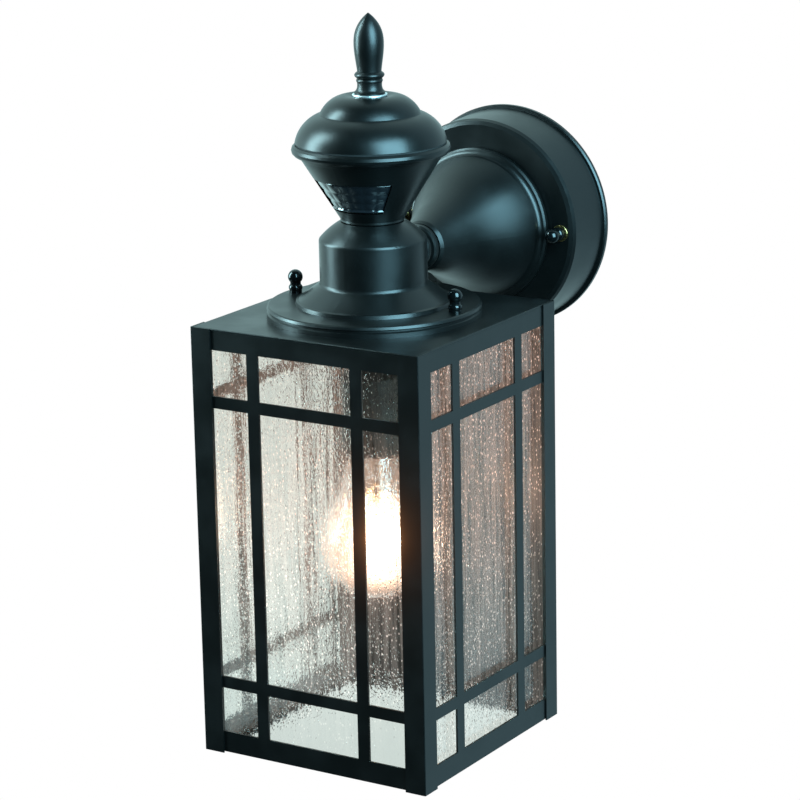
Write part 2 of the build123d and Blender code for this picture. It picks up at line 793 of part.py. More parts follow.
with BuildPart() as rod_coupler:
    coupler_foot = head_bottom + head_wall + locknut_height
    extrude(hexagon(level(coupler_foot), 12.7), amount=12.0)
    extrude(disc(level(coupler_foot), pipe_radius), amount=4.6, mode=Mode.SUBTRACT)
    extrude(disc(level(rod_foot), stud_radius + 0.02), amount=8.0, mode=Mode.SUBTRACT)
save("rod_coupler", rod_coupler.part)

with BuildPart() as cap_rod:
    extrude(disc(level(rod_foot), stud_radius), amount=finial_foot + stud_grip - rod_foot)
    chamfer(cap_rod.edges().group_by(Axis.Z)[-1], 0.5)
save("cap_rod", cap_rod.part)

board_height = head_cone_top - 0.6
board_sheet = 1.6
with BuildPart() as main_board:
    extrude(disc(level(board_height), head_cone_radius - head_wall - 1.6), amount=board_sheet)
    extrude(disc(level(board_height), stud_radius + 2.0), amount=board_sheet, mode=Mode.SUBTRACT)
save("main_board", main_board.part)

with BuildPart() as load_relay:
    extrude(slab(level(board_height + board_sheet), 19.0, 15.5, (-16.0, 4.0)), amount=15.2)
    chamfer(load_relay.edges().group_by(Axis.Z)[-1], 0.8)
save("load_relay", load_relay.part)

with BuildPart() as supply_capacitor:
    extrude(disc(level(board_height + board_sheet), 6.3, (15.0, 6.0)), amount=16.0)
    fillet(supply_capacitor.edges().group_by(Axis.Z)[-1], 0.8)
save("supply_capacitor", supply_capacitor.part)

detector_distance = 10.5
with BuildPart() as detector_board:
    board_middle = (board_height + head_bottom + head_wall + 4.0) / 2
    board_tall = 2 * (board_height - board_middle)
    extrude(slab(upright(0, detector_distance, board_middle), 22.0, board_tall), amount=board_sheet)
save("detector_board", detector_board.part)

with BuildPart() as pir_detector:
    detector_face = upright(0, detector_distance + board_sheet, (lens_bottom + lens_top) / 2)
    extrude(disc(detector_face, 4.6), amount=0.5)
    extrude(disc(detector_face.offset(0.5), 4.1), amount=3.7)
    fillet(pir_detector.edges().group_by(Axis.Y)[0], 0.5)
    extrude(slab(detector_face.offset(3.9), 3.8, 3.0), amount=0.3, mode=Mode.SUBTRACT)
save("pir_detector", pir_detector.part)

with BuildPart() as photocell:
    extrude(disc(upright(0, detector_distance + board_sheet, lens_top + 2.5), 2.5, (6.5, 0)), amount=2.1)
    fillet(photocell.edges().group_by(Axis.Y)[0], 0.4)
save("photocell", photocell.part)

# ---------------------------------------------------------------- controls at the back of the head
with BuildPart() as range_dial:
    extrude(disc(on_cone(180, control_height, -3.4), dial_radius, dial_place), amount=4.6)
    dial_face = on_cone(180, control_height, 1.2)
    chamfer(range_dial.edges().group_by(Axis(dial_face.origin, dial_face.z_dir))[-1], 0.4)
    extrude(slab(dial_face, 1.2, 6.0, dial_place), amount=-1.2, mode=Mode.SUBTRACT)
    extrude(disc(on_cone(180, control_height, -6.6), 1.5, dial_place), amount=3.2)
save("range_dial", range_dial.part)

with BuildPart() as range_potentiometer:
    pot_face = on_cone(180, control_height, -4.8)
    extrude(slab(pot_face, 8.4, 8.4, dial_place), amount=-(control_board_depth - 4.8))
    extrude(disc(pot_face, 1.5 + running_clearance, dial_place), amount=-2.2, mode=Mode.SUBTRACT)
save("range_potentiometer", range_potentiometer.part)

with BuildPart() as time_switch:
    extrude(slab(on_cone(180, control_height, -4.9), switch_width, 2.6, switch_place), amount=6.1)
    switch_face = on_cone(180, control_height, 1.2)
    chamfer(time_switch.edges().group_by(Axis(switch_face.origin, switch_face.z_dir))[-1], 0.4)
save("time_switch", time_switch.part)

with BuildPart() as time_switch_body:
    body_face = on_cone(180, control_height, -5.2)
    extrude(slab(body_face, 10.0, 6.4, switch_place), amount=-(control_board_depth - 5.2))
save("time_switch_body", time_switch_body.part)

with BuildPart() as control_board:
    extrude(slab(on_cone(180, control_height, -control_board_depth), 26.0, 13.0), amount=-1.6)
save("control_board", control_board.part)

# ---------------------------------------------------------------- cage
with BuildPart() as top_plate:
    with BuildSketch(level(-top_sheet)):
        Rectangle(2 * (lattice_outer - fit_gap), 2 * (lattice_outer - fit_gap))
        Circle(top_hole_radius, mode=Mode.SUBTRACT)
        with Locations(*cage_stud_places):
            Circle(stud_radius + 0.02, mode=Mode.SUBTRACT)
    extrude(amount=top_sheet)
    fillet(top_plate.faces().sort_by(Axis.Z)[-1].outer_wire().edges(), 0.5)
save("top_plate", top_plate.part)

corners = {"front_left": (-1, -1), "front_right": (1, -1), "back_right": (1, 1), "back_left": (-1, 1)}
for quarter, (corner, (side_x, side_y)) in enumerate(corners.items()):
    leg = Vector(1, 0, 0).rotate(Axis.Z, 90 * quarter)
    foot = (side_x * half, -reach + side_y * half, cage_top - cage_height)
    with BuildPart() as corner_post:
        with BuildSketch(Plane(origin=foot, x_dir=leg, z_dir=(0, 0, 1))) as angle_section:
            Rectangle(post_width, post_sheet, align=Align.MIN)
            Rectangle(post_sheet, post_width, align=Align.MIN)
            fillet(angle_section.vertices().sort_by_distance((0, 0, 0))[0], 0.6)
        extrude(amount=cage_height)
    save(f"corner_post_{corner}", corner_post.part)

sides = {"front": 0, "right": 90, "left": 270}
pane_width = half - post_width - bar_offset - bar_width / 2
middle_width = 2 * bar_offset - bar_width
pane_places = [-bar_offset - bar_width / 2 - pane_width / 2, 0, bar_offset + bar_width / 2 + pane_width / 2]
middle_height = opening_top - opening_foot - 2 * (corner_pane_height + bar_height)
row_places = [opening_top - corner_pane_height / 2, (opening_top + opening_foot) / 2,
              opening_foot + corner_pane_height / 2]
panel_middle = (lattice_foot - top_sheet) / 2
panel_height = -top_sheet - lattice_foot
glass_middle = (glass_head + glass_foot) / 2
side_glass_width = lattice_inner - fit_gap + glass_inner - slot_gap
side_glass_shift = (lattice_inner - fit_gap - glass_inner + slot_gap) / 2  # towards the back panel
for side, angle in sides.items():
    panel_half = lattice_outer - fit_gap if side == "front" else lattice_inner - fit_gap
    with BuildPart() as lattice:
        with BuildSketch(upright(angle, lattice_inner)):
            with Locations((0, panel_middle)):
                Rectangle(2 * panel_half, panel_height)
            for column, wide in zip(pane_places, (pane_width, middle_width, pane_width)):
                for row, tall in zip(row_places, (corner_pane_height, middle_height, corner_pane_height)):
                    with Locations((column, row)):
                        Rectangle(wide, tall, mode=Mode.SUBTRACT)
        extrude(amount=lattice_sheet)
    save(f"lattice_{side}", lattice.part)
    if side == "front":
        width, along = 2 * (lattice_inner - fit_gap), 0.0
    else:
        width, along = side_glass_width, side_glass_shift * sin(radians(angle))
    with BuildPart() as glass:
        extrude(
            slab(upright(angle, glass_inner), width, glass_head - glass_foot, (along, glass_middle)),
            amount=glass_thickness,
        )
    save(f"glass_{side}", glass.part)

with BuildPart() as back_panel:
    extrude(
        slab(upright(180, lattice_inner), 2 * (lattice_outer - fit_gap), panel_height, (0, panel_middle)),
        amount=lattice_sheet,
    )
save("back_panel", back_panel.part)

with BuildPart() as glass_ledge:
    ledge_inner = half - post_width
    extrude(slab(level(lattice_foot), 2 * lattice_inner, 2 * lattice_inner), amount=lattice_sheet)
    extrude(
        slab(level(lattice_foot), 2 * ledge_inner, 2 * ledge_inner), amount=lattice_sheet, mode=Mode.SUBTRACT
    )
save("glass_ledge", glass_ledge.part)

with BuildPart() as glass_clips:
    grip = glass_thickness + 2 * seat_gap
    for angle in sides.values():
        back_of_clip = upright(angle, glass_inner - seat_gap - clip_sheet, -top_sheet)
        clip_middles = [(-clip_offset, -clip_height / 2), (clip_offset, -clip_height / 2)]
        extrude(slab(back_of_clip, clip_width, clip_height, *clip_middles), amount=grip + 2 * clip_sheet)
        mouths = [(along, middle - clip_sheet) for along, middle in clip_middles]
        extrude(
            slab(back_of_clip.offset(clip_sheet), clip_width, clip_height, *mouths),
            amount=grip,
            mode=Mode.SUBTRACT,
        )
save("glass_clips", glass_clips.part)

with BuildPart() as cage_studs:
    stud_rise = flange_height + stud_grip
    stud_root = level(-top_sheet - stud_head_height)
    extrude(disc(stud_root, stud_head_radius, *cage_stud_places), amount=stud_head_height)
    extrude(disc(stud_root, stud_radius, *cage_stud_places), amount=stud_head_height + top_sheet + stud_rise)
    chamfer(cage_studs.edges().group_by(Axis.Z)[-1], 0.5)
save("cage_studs", cage_studs.part)
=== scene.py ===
import json
import math

import bmesh
import bpy
from mathutils import Matrix, Vector


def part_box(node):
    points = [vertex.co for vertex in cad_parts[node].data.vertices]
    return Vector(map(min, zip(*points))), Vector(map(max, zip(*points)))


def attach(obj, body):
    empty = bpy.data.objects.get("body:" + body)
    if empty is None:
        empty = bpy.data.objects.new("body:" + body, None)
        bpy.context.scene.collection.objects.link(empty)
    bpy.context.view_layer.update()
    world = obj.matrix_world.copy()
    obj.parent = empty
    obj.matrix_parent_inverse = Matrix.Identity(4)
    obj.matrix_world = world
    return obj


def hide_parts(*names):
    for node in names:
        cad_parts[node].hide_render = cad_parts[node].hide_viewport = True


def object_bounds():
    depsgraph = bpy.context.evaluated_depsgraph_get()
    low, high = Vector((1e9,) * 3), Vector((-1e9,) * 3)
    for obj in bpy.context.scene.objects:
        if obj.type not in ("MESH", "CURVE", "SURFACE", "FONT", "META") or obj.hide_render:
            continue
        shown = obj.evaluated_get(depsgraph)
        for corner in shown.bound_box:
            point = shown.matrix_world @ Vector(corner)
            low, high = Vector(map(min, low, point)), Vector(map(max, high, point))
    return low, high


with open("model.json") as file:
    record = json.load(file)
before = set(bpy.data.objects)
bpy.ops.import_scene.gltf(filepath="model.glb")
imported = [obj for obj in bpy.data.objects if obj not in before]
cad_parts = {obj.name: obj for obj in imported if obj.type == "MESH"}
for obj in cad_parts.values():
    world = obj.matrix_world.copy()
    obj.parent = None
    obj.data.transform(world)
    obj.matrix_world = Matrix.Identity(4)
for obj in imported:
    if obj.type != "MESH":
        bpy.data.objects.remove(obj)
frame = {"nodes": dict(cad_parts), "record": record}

cad_low, cad_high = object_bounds()
scene = bpy.context.scene
nodes = frame["nodes"]

# ---------------------------------------------------------------- places taken from the frame
MM = 0.001


def middle(node):
    """Middle of a CAD node's box."""
    low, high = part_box(node)
    return (low + high) / 2


filament_lift = 0.6 * MM  # the wire glows most a little above its lowest point
cage_middle = middle("top_plate")
glass_front_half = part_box("glass_front")[1].x
lamp_place = Vector((cage_middle.x, cage_middle.y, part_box("filament")[0].z + filament_lift))

# ---------------------------------------------------------------- camera
camera_target = Vector((0.0136, -0.1430, -0.0735))
camera_distance = 1.70
camera_azimuth, camera_elevation, camera_roll = (math.radians(a) for a in (32.29, 14.933, -1.133))
camera_lens = 143.86
camera_clip_start = 0.05


def direction(azimuth, elevation):
    """Unit vector towards that azimuth and elevation; azimuth 0 is in front and 90 to the right."""
    return Vector((
        math.sin(azimuth) * math.cos(elevation),
        -math.cos(azimuth) * math.cos(elevation),
        math.sin(elevation),
    ))


def make_camera():
    """Long lens, a little above the lantern and to its right."""
    back = direction(camera_azimuth, camera_elevation)
    right = Vector((math.cos(camera_azimuth), math.sin(camera_azimuth), 0))
    up = back.cross(right)
    level_turn = Matrix((right, up, back)).transposed()
    camera = bpy.data.objects.new("camera", bpy.data.cameras.new("camera"))
    camera.data.lens = camera_lens
    camera.data.clip_start = camera_clip_start
    camera.location = camera_target + back * camera_distance
    camera.rotation_euler = (level_turn @ Matrix.Rotation(camera_roll, 3, "Z")).to_euler()
    scene.collection.objects.link(camera)
    scene.camera = camera


make_camera()


# ---------------------------------------------------------------- shader tools
def add(tree, kind, inputs=None, **settings):
    """Adds a node. An input is a number, a colour or the socket that feeds it."""
    node = tree.nodes.new(kind)
    for name, value in settings.items():
        setattr(node, name, value)
    for name, value in (inputs or {}).items():
        socket = node.inputs[name]
        if isinstance(value, bpy.types.NodeSocket):
            tree.links.new(value, socket)
        else:
            socket.default_value = value
    return node


def maths(tree, operation, first, second=0.0, third=0.0):
    """Result of one sum on two or three values."""
    return add(tree, "ShaderNodeMath", {0: first, 1: second, 2: third}, operation=operation).outputs[0]


def ramp(tree, value, start, end, low=0.0, high=1.0):
    """Value mapped smoothly from start..end to low..high."""
    settings = {"Value": value, "From Min": start, "From Max": end, "To Min": low, "To Max": high}
    return add(tree, "ShaderNodeMapRange", settings, interpolation_type="SMOOTHSTEP").outputs["Result"]


def blend(tree, share, first, second, mode="MIX"):
    """Mix of two colours."""
    node = add(tree, "ShaderNodeMix", data_type="RGBA", blend_type=mode)
    for socket, value in ((node.inputs[0], share), (node.inputs[6], first), (node.inputs[7], second)):
        if isinstance(value, bpy.types.NodeSocket):
            tree.links.new(value, socket)
        else:
            socket.default_value = value
    return node.outputs[2]


def place(tree, stretch=(1, 1, 1)):
    """Coordinates in metres in the lantern's own frame, stretched per axis."""
    source = add(tree, "ShaderNodeTexCoord").outputs["Object"]
    return add(tree, "ShaderNodeMapping", {"Vector": source, "Scale": stretch}).outputs[0]


def noise(tree, where, scale, detail=2.0, roughness=0.5):
    """Soft noise; scale counts its lumps in a metre."""
    settings = {"Vector": where, "Scale": scale, "Detail": detail, "Roughness": roughness}
    return add(tree, "ShaderNodeTexNoise", settings).outputs["Fac"]


def new_group(name, inputs, outputs):
    """Empty node group with its sockets, and its input and output nodes."""
    tree = bpy.data.node_groups.new(name, "ShaderNodeTree")
    for label, kind, value in inputs:
        socket = tree.interface.new_socket(label, in_out="INPUT", socket_type=kind)
        socket.default_value = value
    for label, kind in outputs:
        tree.interface.new_socket(label, in_out="OUTPUT", socket_type=kind)
    return tree, tree.nodes.new("NodeGroupInput"), tree.nodes.new("NodeGroupOutput")


def use(tree, group, **inputs):
    """Places a node group in a tree."""
    node = tree.nodes.new("ShaderNodeGroup")
    node.node_tree = group
    for name, value in inputs.items():
        socket = node.inputs[name.replace("_", " ")]
        if isinstance(value, bpy.types.NodeSocket):
            tree.links.new(value, socket)
        else:
            socket.default_value = value
    return node.outputs


NUMBER, COLOUR, VECTOR = "NodeSocketFloat", "NodeSocketColor", "NodeSocketVector"


def coat_texture():
    """Fine dimples of a sprayed coat, with slow drift in its gloss and a trace of dust."""
    drift_scale, speck_scale = 45.0, 1900.0
    dust_colour, dust_roughness = (0.16, 0.17, 0.17, 1), 0.5
    tree, given, out = new_group(
        "coat_texture",
        [("Colour", COLOUR, (0.01, 0.01, 0.01, 1)), ("Roughness", NUMBER, 0.35),
         ("Dimple size", NUMBER, 0.0012), ("Dimple height", NUMBER, 0.00001), ("Dust", NUMBER, 0.1)],
        [("Colour", COLOUR), ("Roughness", NUMBER), ("Normal", VECTOR)],
    )
    where = place(tree)
    dimples = noise(tree, where, maths(tree, "DIVIDE", 1.0, given.outputs["Dimple size"]), 1.0)
    bump = add(tree, "ShaderNodeBump", {
        "Height": dimples, "Distance": given.outputs["Dimple height"], "Strength": 1.0})
    drift = noise(tree, where, drift_scale, 3.0)
    gloss = ramp(tree, drift, 0.3, 0.7, -0.04, 0.05)
    specks = ramp(tree, noise(tree, where, speck_scale, 1.0), 0.72, 0.80)
    dust = maths(tree, "MULTIPLY", specks, given.outputs["Dust"])
    dusty = blend(tree, dust, given.outputs["Colour"], dust_colour)
    rough = maths(tree, "ADD", given.outputs["Roughness"], gloss)
    tree.links.new(dusty, out.inputs["Colour"])
    rough = maths(tree, "ADD", rough, maths(tree, "MULTIPLY", dust, dust_roughness))
    tree.links.new(rough, out.inputs["Roughness"])
    tree.links.new(bump.outputs[0], out.inputs["Normal"])
    return tree


def drawn_metal():
    """Fine lines and slow stains of plated or drawn metal."""
    line_scale, line_height, patch_scale = 3500.0, 0.01 * MM, 160.0
    stain_shade = (0.45, 0.42, 0.38, 1)
    tree, given, out = new_group(
        "drawn_metal",
        [("Colour", COLOUR, (0.5, 0.5, 0.5, 1)), ("Roughness", NUMBER, 0.3),
         ("Lines", VECTOR, (1, 1, 0.05)), ("Stain", NUMBER, 0.2)],
        [("Colour", COLOUR), ("Roughness", NUMBER), ("Normal", VECTOR)],
    )
    source = add(tree, "ShaderNodeTexCoord").outputs["Object"]
    along = add(tree, "ShaderNodeVectorMath", {0: source, 1: given.outputs["Lines"]}, operation="MULTIPLY")
    lines = noise(tree, along.outputs[0], line_scale, 3.0)
    patches = noise(tree, source, patch_scale, 4.0)
    stain = maths(tree, "MULTIPLY", ramp(tree, patches, 0.45, 0.75), given.outputs["Stain"])
    darker = blend(tree, 1.0, given.outputs["Colour"], stain_shade, "MULTIPLY")
    tree.links.new(blend(tree, stain, given.outputs["Colour"], darker), out.inputs["Colour"])
    spread = ramp(tree, lines, 0.2, 0.8, -0.08, 0.10)
    tree.links.new(maths(tree, "ADD", given.outputs["Roughness"], spread), out.inputs["Roughness"])
    bump = add(tree, "ShaderNodeBump", {"Height": lines, "Distance": line_height, "Strength": 0.6})
    tree.links.new(bump.outputs[0], out.inputs["Normal"])
    return tree


def moulded_skin():
    """Fine grain of moulded plastic, rubber or fired clay, with slow clouds in its shade."""
    cloud_scale, cloud_shade = 120.0, (0.86, 0.86, 0.86, 1)
    tree, given, out = new_group(
        "moulded_skin",
        [("Colour", COLOUR, (0.5, 0.5, 0.5, 1)), ("Roughness", NUMBER, 0.4),
         ("Grain size", NUMBER, 0.0004), ("Grain height", NUMBER, 0.00001)],
        [("Colour", COLOUR), ("Roughness", NUMBER), ("Normal", VECTOR)],
    )
    where = place(tree)
    grain = noise(tree, where, maths(tree, "DIVIDE", 1.0, given.outputs["Grain size"]), 2.0)
    clouds = noise(tree, where, cloud_scale, 3.0)
    dim = blend(tree, 1.0, given.outputs["Colour"], cloud_shade, "MULTIPLY")
    shaded = blend(tree, ramp(tree, clouds, 0.35, 0.65), given.outputs["Colour"], dim)
    tree.links.new(shaded, out.inputs["Colour"])
    spread = ramp(tree, clouds, 0.3, 0.7, -0.03, 0.05)
    tree.links.new(maths(tree, "ADD", given.outputs["Roughness"], spread), out.inputs["Roughness"])
    bump = add(tree, "ShaderNodeBump", {
        "Height": grain, "Distance": given.outputs["Grain height"], "Strength": 1.0})
    tree.links.new(bump.outputs[0], out.inputs["Normal"])
    return tree


coat_group, metal_group, skin_group = coat_texture(), drawn_metal(), moulded_skin()


def new_material(name):
    """Material with only its Principled shader and output."""
    material = bpy.data.materials.new(name)
    material.use_nodes = True
    return material, material.node_tree, material.node_tree.nodes["Principled BSDF"]


def join(tree, shader, outputs):
    """Feeds a group's colour, roughness and normal to a shader."""
    tree.links.new(outputs["Colour"], shader.inputs["Base Color"])
    tree.links.new(outputs["Roughness"], shader.inputs["Roughness"])
    tree.links.new(outputs["Normal"], shader.inputs["Normal"])


def coated(name, colour, roughness, dimple=0.0012, height=0.000006, dust=0.10):
    """Sprayed coat."""
    material, tree, shader = new_material(name)
    outputs = use(tree, coat_group, Colour=(*colour, 1), Roughness=roughness,
                  Dimple_size=dimple, Dimple_height=height, Dust=dust)
    join(tree, shader, outputs)
    return material


def metal(name, colour, roughness, lines=(1, 1, 0.05), stain=0.2):
    """Bare or plated metal. Its lines run along the axis with the small number."""
    material, tree, shader = new_material(name)
    shader.inputs["Metallic"].default_value = 1.0
    outputs = use(tree, metal_group, Colour=(*colour, 1), Roughness=roughness, Lines=lines, Stain=stain)
    join(tree, shader, outputs)
    return material


def moulded(name, colour, roughness, grain=0.0004, height=0.000008, coat=0.0):
    """Plastic, rubber or glazed clay, with a clear coat over it where coat isn't 0."""
    material, tree, shader = new_material(name)
    shader.inputs["Coat Weight"].default_value = coat
    shader.inputs["Coat Roughness"].default_value = 0.05
    outputs = use(tree, skin_group, Colour=(*colour, 1), Roughness=roughness,
                  Grain_size=grain, Grain_height=height)
    join(tree, shader, outputs)
    return material


# ---------------------------------------------------------------- materials
glass_bend = 1.5  # refractive index of the panes, the bulb and its stem


def clear_glass(name, colour, roughness=0.0):
    """Glass with no relief yet."""
    material, tree, shader = new_material(name)
    shader.inputs["Base Color"].default_value = (*colour, 1)
    shader.inputs["Transmission Weight"].default_value = 1.0
    shader.inputs["IOR"].default_value = glass_bend
    shader.inputs["Roughness"].default_value = roughness
    return material, tree, shader


def let_lamps_through(tree, shader, tint):
    """Lamps shine through the glass: shadow rays meet a tinted clear shader in place of it."""
    clear = add(tree, "ShaderNodeBsdfTransparent", {"Color": (*tint, 1)})
    path = add(tree, "ShaderNodeLightPath")
    mix = add(tree, "ShaderNodeMixShader", {
        0: path.outputs["Is Shadow Ray"], 1: shader.outputs[0], 2: clear.outputs[0]})
    tree.links.new(mix.outputs[0], tree.nodes["Material Output"].inputs["Surface"])


def seed_relief(tree, streaks):
    """Height of the panes' skin in millimetres: slow waves, drawn streaks, grain and two sizes of seed."""
    wave_height, streak_height, grain_height = 0.30, 0.10, 0.035
    wave_scale, grain_scale = 150.0, 900.0
    seeds = ((620.0, 0.115, 0.38), (1050.0, 0.060, 0.44))  # cells in a metre, height, share left out
    seed_reach, share_edge = 0.36, 0.02
    waves = noise(tree, place(tree, (1, 1, 0.10)), wave_scale, 1.0)
    grain = noise(tree, place(tree, (1, 1, 0.35)), grain_scale, 1.0)
    relief = maths(tree, "MULTIPLY_ADD", waves, wave_height, maths(tree, "MULTIPLY", streaks, streak_height))
    relief = maths(tree, "MULTIPLY_ADD", grain, grain_height, relief)
    for scale, height, share in seeds:
        cells = add(tree, "ShaderNodeTexVoronoi", {"Vector": place(tree, (1, 1, 0.6)), "Scale": scale})
        seed = ramp(tree, cells.outputs["Distance"], 0.0, seed_reach, 1.0, 0.0)
        thinning = noise(tree, place(tree, (1, 1, 0.5)), scale / 3, 1.0)
        kept = ramp(tree, thinning, share - share_edge, share + share_edge)
        relief = maths(tree, "MULTIPLY_ADD", maths(tree, "MULTIPLY", seed, kept), height, relief)
    return relief


def painted_seed_glow(tree, streaks):
    """Painted glow of the lamp's light in the seeds: bright sparks in some seeds over a faint haze along the
    streaks, most near the lamp and across the side panes, warmer above the lamp than below.
    """
    full_reach, last_reach, last_share = 0.058, 0.128, 0.03
    side_band = (glass_front_half - 7.0 * MM, glass_front_half - 6.0 * MM)
    side_share, cool_share = 0.55, 0.75
    warm_band = (lamp_place.z - 0.050, lamp_place.z + 0.035)
    low_colour, high_colour = (1.0, 0.90, 0.81, 1), (1.0, 0.66, 0.52, 1)
    spark_scale, spark_middle, spark_edge, dark_share = 560.0, 0.08, 0.26, 0.50
    least_haze, most_haze = 0.01, 0.13
    source = add(tree, "ShaderNodeTexCoord").outputs["Object"]
    away = add(tree, "ShaderNodeVectorMath", {0: source, 1: lamp_place}, operation="DISTANCE")
    parts = add(tree, "ShaderNodeSeparateXYZ", {"Vector": source})
    across = maths(tree, "ABSOLUTE", parts.outputs["X"])
    warm = ramp(tree, parts.outputs["Z"], *warm_band)
    # Painted glow across the side panes, stronger above the lamp: it stands in for the warm, lamp-lit back
    # panel seen through them.
    painted_side_glow = ramp(tree, across, *side_band, 0.0, side_share)
    painted_side_glow = maths(tree, "MULTIPLY", painted_side_glow, maths(tree, "MULTIPLY_ADD", warm, 1.0, cool_share))
    near = ramp(tree, away.outputs["Value"], full_reach, last_reach, 1.0, last_share)
    near = maths(tree, "MAXIMUM", near, painted_side_glow)
    sparks = add(tree, "ShaderNodeTexVoronoi", {"Vector": place(tree, (1, 1, 0.55)), "Scale": spark_scale})
    spark = ramp(tree, sparks.outputs["Distance"], spark_middle, spark_edge, 1.0, 0.0)
    chance = add(tree, "ShaderNodeSeparateColor", {"Color": sparks.outputs["Color"]}).outputs[0]
    lit = maths(tree, "GREATER_THAN", chance, dark_share)
    haze = ramp(tree, streaks, 0.34, 0.66, least_haze, most_haze)
    strength = maths(tree, "MULTIPLY", maths(tree, "MULTIPLY_ADD", spark, lit, haze), near)
    return blend(tree, strength, (0, 0, 0, 1), blend(tree, warm, low_colour, high_colour))


def seeded_glass():
    """Clear sheet glass full of fine seeds, with drawn upright streaks and a painted glow of the lamp's
    light in the seeds.
    """
    sheet_colour, shadow_tint = (0.955, 0.985, 0.970), (0.90, 0.96, 0.93)
    streak_scale, glow_strength = 420.0, 1.05
    material, tree, shader = clear_glass("seeded_glass", sheet_colour)
    streaks = noise(tree, place(tree, (1, 1, 0.05)), streak_scale, 2.0, 0.6)
    relief = seed_relief(tree, streaks)
    bump = add(tree, "ShaderNodeBump", {"Height": relief, "Distance": MM, "Strength": 1.0})
    tree.links.new(bump.outputs[0], shader.inputs["Normal"])
    # Painted glow: the panes' emission stands in for the lamp's light caught in the seeds.
    tree.links.new(painted_seed_glow(tree, streaks), shader.inputs["Emission Color"])
    shader.inputs["Emission Strength"].default_value = glow_strength
    let_lamps_through(tree, shader, shadow_tint)
    return material


def lit_bulb():
    """Lightly frosted glass, lit, and hottest at the lamp's height where its wall is seen square on."""
    hot_half, cold_half = 0.005, 0.024  # above and below the lamp
    falloff = 11.0
    rim_colour, hot_colour = (0.032, 0.020, 0.015, 1), (1.0, 0.66, 0.46, 1)
    frost, cloud_scale, glow_strength = 0.05, 90.0, 2.2
    material, tree, shader = clear_glass("bulb_frosted_glass", (0.97, 0.95, 0.93), frost)
    normal = add(tree, "ShaderNodeNewGeometry").outputs["Normal"]
    level = add(tree, "ShaderNodeVectorMath", {0: normal, 1: (1, 1, 0)}, operation="MULTIPLY")
    level = add(tree, "ShaderNodeVectorMath", {0: level.outputs[0]}, operation="NORMALIZE")
    side_on = add(tree, "ShaderNodeLayerWeight", {"Blend": 0.5, "Normal": level.outputs[0]})
    square_on = maths(tree, "SUBTRACT", 1.0, side_on.outputs["Facing"])
    source = add(tree, "ShaderNodeTexCoord").outputs["Object"]
    height = add(tree, "ShaderNodeSeparateXYZ", {"Vector": source}).outputs["Z"]
    off_centre = maths(tree, "ABSOLUTE", maths(tree, "SUBTRACT", height, lamp_place.z))
    level_heat = ramp(tree, off_centre, hot_half, cold_half, 1.0, 0.0)
    heat = maths(tree, "MULTIPLY", maths(tree, "POWER", square_on, falloff), level_heat)
    cloud = ramp(tree, noise(tree, place(tree), cloud_scale, 2.0), 0.3, 0.7, 0.92, 1.0)
    glow = blend(tree, maths(tree, "MULTIPLY", heat, cloud), rim_colour, hot_colour)
    tree.links.new(glow, shader.inputs["Emission Color"])
    shader.inputs["Emission Strength"].default_value = glow_strength
    let_lamps_through(tree, shader, (1.0, 1.0, 1.0))
    return material


def thin_glass(name, colour, wobble, scale):
    """Blown or pressed glass with a faint wobble."""
    material, tree, shader = clear_glass(name, colour)
    waves = noise(tree, place(tree), scale, 2.0)
    bump = add(tree, "ShaderNodeBump", {"Height": waves, "Distance": wobble, "Strength": 1.0})
    tree.links.new(bump.outputs[0], shader.inputs["Normal"])
    let_lamps_through(tree, shader, colour)
    return material


def glowing_wire():
    """Wire of the lamp, hotter in patches."""
    dull_heat, bright_heat = (1.0, 0.52, 0.20, 1), (1.0, 0.74, 0.44, 1)
    patch_scale, glow_strength = 900.0, 30.0
    material, tree, shader = new_material("glowing_wire")
    shader.inputs["Base Color"].default_value = (0.30, 0.28, 0.26, 1)
    heat = noise(tree, place(tree), patch_scale, 2.0)
    colour = blend(tree, heat, dull_heat, bright_heat)
    tree.links.new(colour, shader.inputs["Emission Color"])
    shader.inputs["Emission Strength"].default_value = glow_strength
    return material


def circuit_board():
    """Green board with copper tracks under its lacquer."""
    light_green, dark_green, track = (0.03, 0.16, 0.07, 1), (0.025, 0.13, 0.06, 1), (0.10, 0.32, 0.12, 1)
    material, tree, shader = new_material("board_green")
    tracks = add(tree, "ShaderNodeTexBrick", {
        "Vector": place(tree), "Scale": 260.0, "Mortar Size": 0.06,
        "Color1": light_green, "Color2": dark_green, "Mortar": track})
    fine = use(tree, skin_group, Colour=tracks.outputs["Color"], Roughness=0.35,
               Grain_size=0.0006, Grain_height=0.00001)
    join(tree, shader, fine)
    return material


